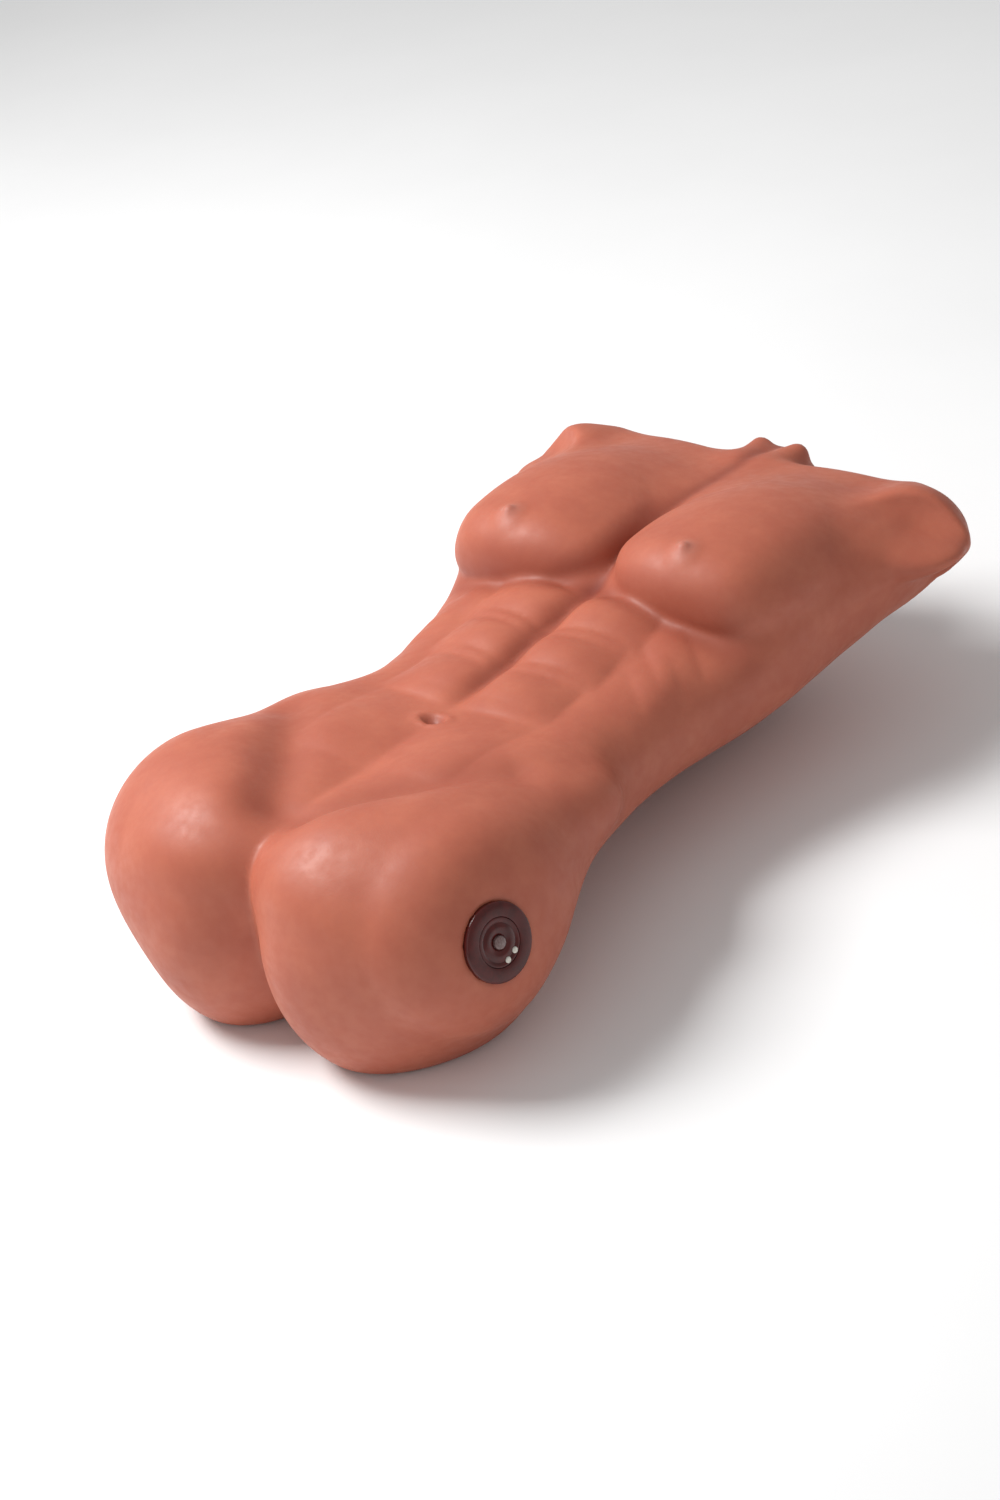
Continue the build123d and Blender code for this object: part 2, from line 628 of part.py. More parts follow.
def band(distance, half_width, half_depth):
    """Elastic band let into the core where its section stays the same."""
    with BuildPart() as piece:
        with BuildSketch(cross_plane(distance - STRAP_WIDTH / 2)):
            with Locations((0, CORE_Z)):
                RectangleRounded(2 * half_width, 2 * half_depth, CORE_CORNER)
                RectangleRounded(
                    2 * (half_width - STRAP_THICK),
                    2 * (half_depth - STRAP_THICK),
                    CORE_CORNER - STRAP_THICK,
                    mode=Mode.SUBTRACT,
                )
        extrude(amount=-STRAP_WIDTH)
    return piece.part


with BuildPart() as core_bands:
    for place in STRAPS:
        add(band(*place))
save(core_bands, "core_bands")

with BuildPart() as whole_core:
    for distance, half_width, half_depth in CORE:
        with BuildSketch(cross_plane(distance)):
            with Locations((0, CORE_Z)):
                RectangleRounded(2 * half_width, 2 * half_depth, CORE_CORNER)
    loft(ruled=True)

hoop_room = hoop(BAR_RADIUS + FOAM_GAP, None, HOOP_END - CAP_HEAD - FOAM_GAP)
cable_room = wire(BATTERY_ROUTE, CABLE_RADIUS + FOAM_GAP, None)
lead_room = wire(MAT_ROUTE, LEAD_RADIUS + FOAM_GAP, None)

with BuildPart() as hard_pieces:
    # The room that the skeleton, the battery box and the wires take up in the foam and the casting.
    with BuildSketch(SPINE_PLANE):
        Circle(SPINE_RADIUS + FOAM_GAP)
    extrude(amount=SPINE_TO - SPINE_FROM)
    with BuildSketch(SHOULDER_PLANE.offset(-CAP_HEAD - FOAM_GAP)):
        Circle(BAR_RADIUS + FOAM_GAP)
    extrude(amount=2 * (SHOULDER_BAR_HALF + CAP_HEAD + FOAM_GAP))
    add(hoop_room.part)
    for bar_at, towards_spine in ((SHOULDER_BAR_AT, -1), (HOOP_AT, 1)):
        with Locations((0, at(bar_at + towards_spine * TEE_OFFSET), CORE_Z)):
            Box(TEE_WIDTH + 2 * FOAM_GAP, TEE_LENGTH + 2 * FOAM_GAP, TEE_DEPTH + 2 * FOAM_GAP)
    box_room = [side + 2 * FOAM_GAP for side in TRAY_SIZE]
    with Locations((TRAY_X, at(TRAY_AT), wire_z + LID_THICK)):
        Box(box_room[0], box_room[1], box_room[2] + 2 * LID_THICK)
    with Locations((LEAD_X, mat_end - MAT_PLUG[1] / 2, mat_z - MAT_PLUG[2] / 2)):
        Box(MAT_PLUG[0], MAT_PLUG[1], MAT_PLUG[2])
    add(cable_room.part)
    add(lead_room.part)


def core_half(keep):
    """One half of the core, split across its depth, hollowed for what it holds."""
    with BuildPart() as piece:
        add(whole_core.part)
        split(bisect_by=Plane.XY.offset(CORE_Z), keep=keep)
        add(hard_pieces.part, mode=Mode.SUBTRACT)
        add(core_bands.part, mode=Mode.SUBTRACT)
    return piece


foam_core_front = core_half(Keep.TOP)
save(foam_core_front, "foam_core_front")
foam_core_back = core_half(Keep.BOTTOM)
save(foam_core_back, "foam_core_back")

with BuildPart() as casting_room:
    # All that the casting is poured round: the core, the hoop's legs, the mat, the cable and the fitting.
    add(whole_core.part)
    add(hoop_room.part)
    add(cable_room.part)
    with BuildSketch(Plane.XY.offset(mat_z)):
        with Locations((0, at(MAT_AT))):
            RectangleRounded(MAT_SIZE[0], MAT_SIZE[1], MAT_CORNER)
    extrude(amount=MAT_SIZE[2])
    with BuildSketch(fitting):
        Circle(BEZEL_RADIUS + SLIDING_GAP)
    extrude(amount=4 * BEZEL_TOP)
    with BuildSketch(fitting.offset(-FLANGE_THICK)):
        Circle(FLANGE_RADIUS)
    extrude(amount=FLANGE_THICK)
    with BuildSketch(fitting.offset(-CUP_DEPTH)):
        Circle(CUP_RADIUS)
    extrude(amount=CUP_DEPTH)
    with BuildSketch(fitting.offset(CUP_INSIDE - GLAND_LENGTH)):
        Circle(GLAND_RADIUS)
    extrude(amount=GLAND_LENGTH)

with BuildPart() as elastomer_body:
    add(outer.part)
    add(casting_room.part, mode=Mode.SUBTRACT)
save(elastomer_body, "elastomer_body")

print("casting", round(elastomer_body.part.volume / 1e6, 2), "litres")
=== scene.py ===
import json
import math

import bpy
import numpy as np
from mathutils import Matrix, Vector


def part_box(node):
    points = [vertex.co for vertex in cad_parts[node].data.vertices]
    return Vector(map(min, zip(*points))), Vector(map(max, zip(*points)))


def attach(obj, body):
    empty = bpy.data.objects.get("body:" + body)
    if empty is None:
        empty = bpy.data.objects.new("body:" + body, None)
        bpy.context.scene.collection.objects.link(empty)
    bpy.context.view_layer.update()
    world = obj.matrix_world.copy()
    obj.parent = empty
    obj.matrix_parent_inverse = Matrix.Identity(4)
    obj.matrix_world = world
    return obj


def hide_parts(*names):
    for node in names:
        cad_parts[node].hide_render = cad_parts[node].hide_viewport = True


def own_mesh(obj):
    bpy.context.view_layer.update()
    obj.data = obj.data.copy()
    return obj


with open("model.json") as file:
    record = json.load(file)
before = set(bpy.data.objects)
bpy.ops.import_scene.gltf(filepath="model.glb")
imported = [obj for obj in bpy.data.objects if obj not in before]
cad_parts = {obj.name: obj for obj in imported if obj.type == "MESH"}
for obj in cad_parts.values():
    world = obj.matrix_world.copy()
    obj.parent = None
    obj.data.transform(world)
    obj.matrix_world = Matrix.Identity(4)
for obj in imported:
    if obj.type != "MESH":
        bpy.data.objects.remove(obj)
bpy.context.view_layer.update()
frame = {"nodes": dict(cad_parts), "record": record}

# ================================================================ camera
# Stands off the hips, on the mannequin's left, looks down at it, and is rolled, so that the body runs
# from the lower left to the upper right. Angles in degrees, sizes in metres.

CAMERA_AZIMUTH, CAMERA_ELEVATION, CAMERA_ROLL = 45.06, 29.98, -11.29
CAMERA_DISTANCE, CAMERA_LENS, CAMERA_SENSOR = 1.8, 75.87, 36.0
CAMERA_TARGET = Vector((0.3154, -0.3592, 0.3498))

azimuth, elevation = math.radians(CAMERA_AZIMUTH), math.radians(CAMERA_ELEVATION)
towards_camera = Vector(
    (
        math.sin(azimuth) * math.cos(elevation),
        -math.cos(azimuth) * math.cos(elevation),
        math.sin(elevation),
    )
)
camera = bpy.data.objects.new("camera", bpy.data.cameras.new("camera"))
camera.data.lens = CAMERA_LENS
camera.data.sensor_width = CAMERA_SENSOR
camera.matrix_world = (
    Matrix.Translation(CAMERA_TARGET + towards_camera * CAMERA_DISTANCE)
    @ (-towards_camera).to_track_quat("-Z", "Y").to_matrix().to_4x4()
    @ Matrix.Rotation(math.radians(CAMERA_ROLL), 4, "Z")
)
bpy.context.collection.objects.link(camera)
bpy.context.scene.camera = camera

# ================================================================ spine and cross bars
# The skeleton is cut from drawn aluminium tube and slipped into its clamps by hand. Drawing leaves long
# fine scratches along the tube, which stretch the reflections across it.

MM = 0.001
WAVE_RADIANS = 20  # a wave texture at scale 1 turns through this many radians in a metre


def linear(code):
    """Linear colour, with alpha, of an sRGB hex value."""
    parts = [int(code[i : i + 2], 16) / 255 for i in (1, 3, 5)]
    return [c / 12.92 if c <= 0.04045 else ((c + 0.055) / 1.055) ** 2.4 for c in parts] + [1.0]


def add(tree, kind, inputs=(), **settings):
    """Add a node. A plain value is set on its socket, and another node's output is linked to it."""
    made = tree.nodes.new(kind)
    for name, value in settings.items():
        setattr(made, name, value)
    for name, value in dict(inputs).items():
        if isinstance(value, bpy.types.NodeSocket):
            tree.links.new(value, made.inputs[name])
        else:
            made.inputs[name].default_value = value
    return made


def start_material(name):
    """A new material's node tree, and the position on the piece in metres."""
    made = bpy.data.materials.new(name)
    made.use_nodes = True
    made.node_tree.nodes.clear()
    where = add(made.node_tree, "ShaderNodeTexCoord").outputs["Object"]
    return made, made.node_tree, where


def end_material(tree, inputs):
    """Close the tree with its one shader."""
    shader = add(tree, "ShaderNodeBsdfPrincipled", inputs)
    add(tree, "ShaderNodeOutputMaterial", {"Surface": shader.outputs[0]})


def noise(tree, where, grain_mm, detail=4.0, stretch=(1, 1, 1)):
    """Cloudy pattern from 0 to 1 whose grains are about so many millimetres, longer where stretched."""
    scaled = add(tree, "ShaderNodeMapping", {"Vector": where, "Scale": [1 / s for s in stretch]})
    return add(
        tree,
        "ShaderNodeTexNoise",
        {"Vector": scaled.outputs[0], "Scale": 1 / (grain_mm * MM), "Detail": detail},
    ).outputs[0]


def spread(tree, value, low, high, start=0.35, end=0.65):
    """A pattern's middle stretch laid out between two values."""
    return add(
        tree,
        "ShaderNodeMapRange",
        {"Value": value, "From Min": start, "From Max": end, "To Min": low, "To Max": high},
    ).outputs[0]


def tones(tree, factor, dark, light):
    """Colour between two sRGB hex values."""
    return add(
        tree, "ShaderNodeMix", {0: factor, 6: linear(dark), 7: linear(light)}, data_type="RGBA"
    ).outputs[2]


def bump(tree, height, depth_mm, under=None):
    """Surface relief of so many millimetres, on top of another where one is given."""
    inputs = {"Height": height, "Distance": depth_mm * MM, "Strength": 1.0}
    if under is not None:
        inputs["Normal"] = under
    return add(tree, "ShaderNodeBump", inputs).outputs[0]


def dress(material, *nodes):
    """Give CAD nodes a material in place of their own."""
    for name in nodes:
        frame["nodes"][name].data.materials.clear()
        frame["nodes"][name].data.materials.append(material)


def drawn_aluminium(name, stretch):
    """Aluminium with draw marks along the stretched axis."""
    made, tree, where = start_material(name)
    marks = noise(tree, where, 0.5, stretch=stretch)
    cloud = noise(tree, where, 18)
    end_material(
        tree,
        {
            "Base Color": tones(tree, spread(tree, cloud, 0, 1), "#c3c5c8", "#dcdddf"),
            "Metallic": 1.0,
            "Roughness": spread(tree, marks, 0.22, 0.42),
            "Normal": bump(tree, marks, 0.02),
        },
    )
    return made


dress(drawn_aluminium("drawn_aluminium_along", (1, 60, 1)), "spine_tube", "pelvis_hoop")
dress(drawn_aluminium("drawn_aluminium_across", (60, 1, 1)), "shoulder_bar")

# ================================================================ tube clamps
# Two blocks sawn from aluminium bar, bored for the tubes and milled all over. The cutter leaves fine
# parallel arcs, drawn 2.2 mm apart, since the real third of a millimetre is too fine to show.

MILLING_PITCH = 2.2

milled, tree, where = start_material("milled_aluminium")
arcs = add(
    tree,
    "ShaderNodeTexWave",
    {
        "Vector": where,
        "Scale": math.tau / (MILLING_PITCH * MM * WAVE_RADIANS),
        "Distortion": 1.2,
        "Detail": 1.0,
    },
    wave_type="RINGS",
).outputs[0]
end_material(
    tree,
    {
        "Base Color": tones(tree, arcs, "#a9abae", "#c2c4c6"),
        "Metallic": 1.0,
        "Roughness": spread(tree, arcs, 0.28, 0.4, 0, 1),
        "Normal": bump(tree, arcs, 0.02),
    },
)
dress(milled, "shoulder_tee", "pelvis_tee")

# ================================================================ screws
# Bought steel screws, zinc plated and passivated, which gives a bluish grey with faint yellow patches.

zinc, tree, where = start_material("zinc_plated_steel")
patches = noise(tree, where, 2.5)
end_material(
    tree,
    {
        "Base Color": tones(tree, spread(tree, patches, 0, 1), "#8f949a", "#b3ab95"),
        "Metallic": 1.0,
        "Roughness": spread(tree, patches, 0.3, 0.5),
        "Normal": bump(tree, noise(tree, where, 0.4), 0.01),
    },
)
dress(zinc, "tee_set_screws", "board_screws", "battery_lid_screws")

# ================================================================ tube plugs, guide and switch
# Small black nylon mouldings with the fine spark-eroded grain of their mould.

nylon, tree, where = start_material("moulded_black_nylon")
grain = noise(tree, where, 0.6)
end_material(
    tree,
    {
        "Base Color": tones(tree, spread(tree, grain, 0, 1), "#141516", "#232425"),
        "Roughness": spread(tree, grain, 0.5, 0.68),
        "IOR": 1.53,
        "Normal": bump(tree, grain, 0.04),
    },
)
dress(nylon, "shoulder_bar_caps", "pelvis_hoop_caps", "control_cup", "button_guide", "tact_switch")

# ================================================================ battery box
# An ABS tray and lid, moulded in off-white. Slow waves of sink and a fine texture break up its gloss.

abs_white, tree, where = start_material("moulded_off_white_abs")
sink = noise(tree, where, 14, detail=1)
grain = noise(tree, where, 0.7)
end_material(
    tree,
    {
        "Base Color": tones(tree, spread(tree, sink, 0, 1), "#d3d1c8", "#e2e0d8"),
        "Roughness": spread(tree, grain, 0.4, 0.55),
        "IOR": 1.54,
        "Normal": bump(tree, grain, 0.03),
    },
)
dress(abs_white, "battery_tray", "battery_lid", "board_socket", "heating_mat_plug")

# ================================================================ battery cells
# Two steel cans in heat-shrunk blue film. The film wrinkles slightly round the can as it shrinks.

wrap, tree, where = start_material("heat_shrunk_blue_film")
wrinkles = noise(tree, where, 3, stretch=(1, 0.25, 1))
end_material(
    tree,
    {
        "Base Color": tones(tree, spread(tree, wrinkles, 0, 1), "#2b5f9e", "#3d78bd"),
        "Roughness": spread(tree, wrinkles, 0.18, 0.3),
        "IOR": 1.55,
        "Normal": bump(tree, wrinkles, 0.12),
    },
)
dress(wrap, "battery_cells")

# ================================================================ circuit boards
# Glass-epoxy board under green solder mask. The weave of the glass and the copper lines show through. The
# weave's real 0.6 mm is too fine to show, so it is drawn coarser.

GLASS_WEAVE, TRACK_PITCH = 3.8, 2.4
ROWS_PER_UNIT, TRACK_SHARE = 4, 0.06  # a brick texture's rows are a quarter of a unit high at scale 1

mask, tree, where = start_material("solder_mask_on_glass_epoxy")
weave = add(
    tree,
    "ShaderNodeTexWave",
    {"Vector": where, "Scale": math.tau / (GLASS_WEAVE * MM * WAVE_RADIANS)},
).outputs[0]
tracks = add(
    tree,
    "ShaderNodeTexBrick",
    {
        "Vector": where,
        "Scale": 1 / (TRACK_PITCH * MM * ROWS_PER_UNIT),
        "Mortar Size": TRACK_SHARE,
        "Color1": (0, 0, 0, 1),
        "Color2": (0, 0, 0, 1),
        "Mortar": (1, 1, 1, 1),
    },
).outputs[0]
end_material(
    tree,
    {
        "Base Color": tones(tree, tracks, "#1d5b35", "#3f8a52"),
        "Roughness": spread(tree, weave, 0.25, 0.38, 0, 1),
        "Coat Weight": 0.4,
        "Normal": bump(tree, tracks, 0.05, bump(tree, weave, 0.01)),
    },
)
dress(mask, "circuit_board", "battery_board")

# ================================================================ wires, gland and seal
# Wires in a soft black jacket, run through a silicone gland. Both are dull, with a bloom that lightens them.

jacket, tree, where = start_material("extruded_black_pvc")
bloom = noise(tree, where, 6)
end_material(
    tree,
    {
        "Base Color": tones(tree, spread(tree, bloom, 0, 1), "#17181a", "#2b2c2e"),
        "Roughness": spread(tree, bloom, 0.42, 0.6),
        "IOR": 1.52,
        "Normal": bump(tree, noise(tree, where, 0.8), 0.02),
    },
)
dress(jacket, "battery_cable", "heating_mat_lead")

silicone, tree, where = start_material("moulded_black_silicone")
dust = noise(tree, where, 1.2)
end_material(
    tree,
    {
        "Base Color": tones(tree, spread(tree, dust, 0, 1), "#1b1b1c", "#303031"),
        "Roughness": spread(tree, dust, 0.55, 0.75),
        "IOR": 1.43,
        "Normal": bump(tree, dust, 0.02),
    },
)
dress(silicone, "seal_ring", "cable_gland")

# ================================================================ warming mat
# Etched foil between two layers of amber polyimide film. The foil's back-and-forth line shows as a darker
# band every eight millimetres.

FOIL_PITCH = 8

polyimide, tree, where = start_material("amber_polyimide_film")
foil = add(
    tree,
    "ShaderNodeTexWave",
    {"Vector": where, "Scale": math.tau / (FOIL_PITCH * MM * WAVE_RADIANS)},
    wave_profile="TRI",
).outputs[0]
end_material(
    tree,
    {
        "Base Color": tones(tree, spread(tree, foil, 0, 1, 0.4, 0.5), "#8a5a1e", "#c9892d"),
        "Roughness": spread(tree, noise(tree, where, 5), 0.2, 0.34),
        "Coat Weight": 0.5,
        "Normal": bump(tree, foil, 0.05),
    },
)
dress(polyimide, "heating_mat")

# ================================================================ foam core
# Two halves cut from a block of open-cell polyurethane foam. Cut cells a millimetre and a half across
# give it a matt, pitted face.

CELL = 1.5

foam, tree, where = start_material("cut_open_cell_foam")
cells = add(tree, "ShaderNodeTexVoronoi", {"Vector": where, "Scale": 1 / (CELL * MM)}).outputs["Distance"]
yellowing = noise(tree, where, 60)
end_material(
    tree,
    {
        "Base Color": tones(tree, spread(tree, yellowing, 0, 1), "#d8cda6", "#e8e0c4"),
        "Roughness": spread(tree, cells, 0.85, 0.98, 0, 1),
        "Sheen Weight": 0.2,
        "Normal": bump(tree, cells, 0.6),
    },
)
dress(foam, "foam_core_front", "foam_core_back")

# ================================================================ core bands
# Woven elastic, sewn into loops that hold the core's halves together while the casting is poured. Its
# ribs are drawn twice as coarse as the real 1.6 mm, to show.

RIB_PITCH = 3.2

elastic, tree, where = start_material("woven_black_elastic")
ribs = add(
    tree,
    "ShaderNodeTexWave",
    {"Vector": where, "Scale": math.tau / (RIB_PITCH * MM * WAVE_RADIANS)},
    bands_direction="Y",
).outputs[0]
end_material(
    tree,
    {
        "Base Color": tones(tree, ribs, "#111112", "#2e2e30"),
        "Roughness": spread(tree, ribs, 0.7, 0.9, 0, 1),
        "Sheen Weight": 0.3,
        "Normal": bump(tree, ribs, 0.25),
    },
)
dress(elastic, "core_bands")

# ================================================================ casting
# The body itself: one thick casting in a soft thermoplastic elastomer, poured round the core and peeled
# from its mould. It is sculpted here as a distance field in millimetres, with +X the mannequin's left,
# Y counted from the crotch towards the neck, and +Z its front. The crotch is smooth and closed.

CROTCH_Y = -274.0
GRID_STEP = 3.0

# Stations along the body: distance from the crotch, half width, back, widest line, front. These weren't all
# chosen by hand: the half widths at 0 to 440 and 575 and the backs at 40 to 150 are a least-squares
# program's output as printed, and the half widths at 490 and 540 and the backs at 190 to 540 are its output
# changed by hand.
TRUNK = (
    (-30, 118, 26, 80, 128),
    (0, 151, 18, 80, 138),
    (40, 163, 6, 84, 146),
    (75, 163, 7, 88, 148),
    (110, 153, 15, 94, 150),
    (150, 141, 24, 98, 150),
    (190, 137, 26, 99, 150),
    (240, 130, 22, 100, 152),
    (290, 132, 14, 103, 156),
    (340, 145, 4, 110, 160),
    (390, 157, -4, 118, 164),
    (440, 160, -8, 124, 168),
    (490, 168, 0, 130, 172),
    (540, 177, 26, 136, 172),
    (575, 170, 52, 138, 166),
    (605, 140, 84, 138, 152),
)
TRUNK_ENDS = (-18, 567)
END_ROUND = 36
NECK_END, NECK_EDGE = 611, 5
NECK = ((0, 560, 118), (0, 592, 122), 46, 42)
NECK_CORD = ((9, 560, 160), (18, 602, 160), 8, 8)
COLLARBONE = ((20, 566, 158), (140, 574, 150), 9, 12)

# Round masses on each side: centre, radii, turn about the vertical in degrees. A fillet is how far a mass
# melts into what it joins. The same program gave THIGH, BUTTOCK, COLLAR, the trunk's neck end, the arm's
# radius and CHEST to within 2 mm, and HIP, CREST, CHEST_LOWER and CHEST_OUTER before a change by hand.
THIGH = ((60, 6, 81), (69, 71, 95), 0)
BUTTOCK = ((79, 43, 64), (80, 80, 82), 0)
HIP = ((117, 44, 106), (67, 86, 68), -9)
CREST = ((112, 138, 118), (38, 62, 32), -30)
PUBIS = ((0, 26, 96), (48, 46, 44), 0)
COLLAR = ((132, 542, 141), (80, 48, 16), -12)
BUTTOCK_FILLET, HIP_FILLET, CREST_FILLET = 34, 40, 46
FLANK_FILLET, GROIN_FILLET = 26, 44
PUBIS_FILLET, COLLAR_FILLET, COLLARBONE_FILLET, NECK_FILLET, CORD_FILLET = 22, 20, 24, 26, 10

# Where the upper arm is cut off: the arm's axis and radius, and the plane's middle and normal.
ARM = ((160, 549, 144), (206, 475, 134), 35)
ARM_CUT, ARM_CUT_EDGE, ARM_TAPER = ((176, 546, 130), (0.40, -0.90, 0.12)), 4, 2
SHOULDER_FILLET, SHOULDER_RIM_FILLET = 28, 8

# Chest muscle: a dome cut by its lower, inner and outer edges.
CHEST = ((80, 416, 116), (110, 163, 91), -4)
CHEST_LOWER, CHEST_OUTER, CHEST_INNER, CHEST_UPPER = 346, 162, 2, 586
CHEST_MIDDLE, CHEST_LOWER_BOW = 84, 0.0026  # the lower edge rises this much per mm squared from its middle
NIPPLE, NIPPLE_RADIUS, NIPPLE_RISE = (83, 371), 4.8, 4.6
AREOLA_RADIUS, AREOLA_RISE = 13, 2.0
NAVEL_Y, NAVEL_RADII, NAVEL_DEPTH, NAVEL_RIM = 170, (8.5, 5.0), 4.5, 1.4

# Belly muscles, each a soft cushion: centre, half width and half length, height, turn in degrees.
BELLY = (
    ((40, 324), (38, 30), 13, 10),
    ((39, 275), (38, 29), 13, 8),
    ((37, 224), (38, 32), 11, 6),
    ((34, 150), (40, 56), 5, 0),
)
FLANK = (
    ((112, 250), (36, 60), 4, -8),
    ((104, 316), (30, 17), 5, -38),
    ((112, 286), (30, 17), 4, -38),
)
GROIN = ((18, 20), (44, 58), (74, 96), (104, 132))
GROIN_DEPTH, GROIN_WIDTH = 9, 20
MIDLINE_DEPTH, MIDLINE_WIDTH = 5, 9
BELLY_SHARE = 0.85


def ramp(value, low, high):
    """Smooth step from 0 to 1."""
    t = np.clip((value - low) / (high - low), 0, 1)
    return t * t * (3 - 2 * t)


def join(a, b, width):
    """Union of two distance fields, with a fillet."""
    t = np.clip(0.5 + 0.5 * (b - a) / width, 0, 1)
    return b + (a - b) * t - width * t * (1 - t)


def cut(a, b, width):
    """What is inside both fields, with a rounded edge."""
    return -join(-a, -b, width)


def along_body(y, column):
    """One column of the trunk's stations as a smooth curve."""
    stations = np.array([row[0] for row in TRUNK], np.float32)
    values = np.array([row[column] for row in TRUNK], np.float32)
    slopes = np.gradient(values, stations)
    y = np.clip(y, stations[0], stations[-1])
    i = np.clip(np.searchsorted(stations, y, side="right") - 1, 0, len(stations) - 2)
    gap = stations[i + 1] - stations[i]
    t = (y - stations[i]) / gap
    return (
        (1 + 2 * t) * (1 - t) ** 2 * values[i]
        + t * (1 - t) ** 2 * gap * slopes[i]
        + t * t * (3 - 2 * t) * values[i + 1]
        + t * t * (t - 1) * gap * slopes[i + 1]
    )


def turned(x, y, centre, degrees):
    """Place in the plan view, about a centre and turned with a shape."""
    c, s = math.cos(math.radians(degrees)), math.sin(math.radians(degrees))
    return c * (x - centre[0]) + s * (y - centre[1]), -s * (x - centre[0]) + c * (y - centre[1])


def ellipsoid(x, y, z, centre, radii, turn):
    """Distance to an ellipsoid, close to true near its surface."""
    x, y = turned(x, y, centre, turn)
    z = z - centre[2]
    reach = np.sqrt((x / radii[0]) ** 2 + (y / radii[1]) ** 2 + (z / radii[2]) ** 2) + 1e-6
    slope = np.sqrt((x / radii[0] ** 2) ** 2 + (y / radii[1] ** 2) ** 2 + (z / radii[2] ** 2) ** 2)
    return reach * (reach - 1) / (slope + 1e-9)


def rod(x, y, z, start, end, start_radius, end_radius):
    """Distance to a round-ended rod that may taper."""
    start, run = np.array(start, np.float32), np.array(end, np.float32) - np.array(start, np.float32)
    x, y, z = x - start[0], y - start[1], z - start[2]
    t = np.clip((x * run[0] + y * run[1] + z * run[2]) / float(run @ run), 0, 1)
    gap = np.sqrt((x - t * run[0]) ** 2 + (y - t * run[1]) ** 2 + (z - t * run[2]) ** 2)
    return gap - (start_radius + (end_radius - start_radius) * t)


def cushion(x, y, centre, half, turn):
    """A soft cushion of height 1 in the plan view, with a crease round it."""
    u, v = turned(x, y, centre, turn)
    square = np.clip(1 - (u / half[0]) ** 2, 0, 1) * np.clip(1 - (v / half[1]) ** 2, 0, 1)
    return square**0.9


def gap_to_line(x, y, line):
    """Distance in the plan view to a line of several runs."""
    nearest = 1e9
    for (ax, ay), (bx, by) in zip(line, line[1:]):
        dx, dy = bx - ax, by - ay
        t = np.clip(((x - ax) * dx + (y - ay) * dy) / (dx * dx + dy * dy), 0, 1)
        nearest = np.minimum(nearest, np.hypot(x - ax - t * dx, y - ay - t * dy))
    return nearest


def trunk(x, y, z):
    """The plain barrel of the body, a squarish oval in section, with rounded ends."""
    half_width, back, widest, front = (along_body(y, column) for column in (1, 2, 3, 4))
    rise = z - widest
    depth = np.where(rise > 0, front - widest, widest - back)
    power = 1.5 + 0.95 * ramp(rise, -60, 10)
    section = ((x / half_width) ** power + (np.abs(rise) / depth) ** power) ** (1 / power) + 1e-4
    side = np.sqrt(x * x + rise * rise) * (1 - 1 / section)
    ends = np.maximum(y - TRUNK_ENDS[1], TRUNK_ENDS[0] - y)
    return cut(side, ends, END_ROUND)


def belly(x, y, z):
    """How far the front's muscles stand out of the barrel, and the grooves between them lie in it."""
    height = 0
    for centre, half, rise, turn in BELLY:
        height = height + rise * cushion(x, y, centre, half, turn)
    for centre, half, rise, turn in FLANK:
        height = height + rise * cushion(x, y, centre, half, turn) * ramp(z, 118, 146)
    midline = np.exp(-((x / MIDLINE_WIDTH) ** 2)) * ramp(y, 185, 225) * (1 - ramp(y, 356, 380))
    groin = np.exp(-((gap_to_line(x, y, GROIN) / GROIN_WIDTH) ** 2))
    return height - MIDLINE_DEPTH * midline - GROIN_DEPTH * groin


def chest_edge(x):
    """The chest muscle's lower edge, bowed: its distance from the crotch."""
    return CHEST_LOWER + CHEST_LOWER_BOW * (x - CHEST_MIDDLE) ** 2


def chest(x, y, z):
    """One side's chest muscle."""
    inner = CHEST_INNER + 0.16 * np.clip(385 - y, 0, 60) + 8 * ramp(y, 490, 560)
    lower = chest_edge(x)
    outer = CHEST_OUTER + 0.06 * (y - 357) + 70 * ramp(y, 470, 560)
    back = 126 + 0.1 * (x - 80)
    plate = cut(ellipsoid(x, y, z, *CHEST), inner - x, 16)
    plate = cut(plate, lower - y, 36)
    plate = cut(plate, x - outer, 44)
    plate = cut(plate, y - CHEST_UPPER, 30)
    return cut(plate, back - z, 36)


def shoulder(x, y, z):
    """The stump of an arm that hangs by the side, cut off flat."""
    middle, normal = ARM_CUT
    plane = (x - middle[0]) * normal[0] + (y - middle[1]) * normal[1] + (z - middle[2]) * normal[2]
    stump = cut(rod(x, y, z, *ARM, ARM[2] - ARM_TAPER), plane, ARM_CUT_EDGE)
    return join(stump, ellipsoid(x, y, z, *COLLAR), COLLAR_FILLET)


